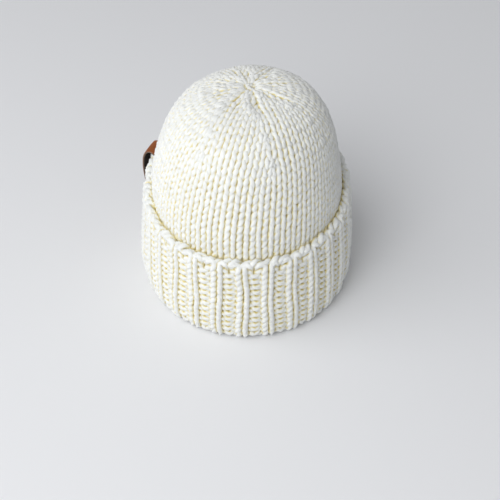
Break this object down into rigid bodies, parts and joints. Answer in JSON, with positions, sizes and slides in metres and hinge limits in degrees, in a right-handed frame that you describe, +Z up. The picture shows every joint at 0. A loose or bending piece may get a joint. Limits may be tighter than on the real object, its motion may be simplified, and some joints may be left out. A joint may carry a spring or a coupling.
{
  "type": "knitted beanie with a turned-up cuff",
  "caption": "Chunky hand-knitted cream beanie: a domed stockinette crown gathered at the top, a turned-up ribbed cuff and a small folded leather tag on its edge.",
  "frame": {"origin": "middle of the hat's box, on the plane that the rim rests on", "axes": "+Z up through the crown, -Y towards the back of the hat that the picture shows, +Y towards its front, -X towards the side with the tag; the head oval is longest along Y"},
  "size_m": [0.1918, 0.2128, 0.1857],
  "materials": {
    "crown_wool": "thick soft plied wool yarn in stockinette stitch, matt",
    "cuff_wool": "the same yarn in one-by-one rib, matt",
    "tag_leather": "chestnut leather, satin face with a rough raw underside and cut edges"
  },
  "bodies": {
    "root": {"crown": "crown_wool", "cuff": "cuff_wool", "leather_tag": "tag_leather"}
  },
  "joints": []
}
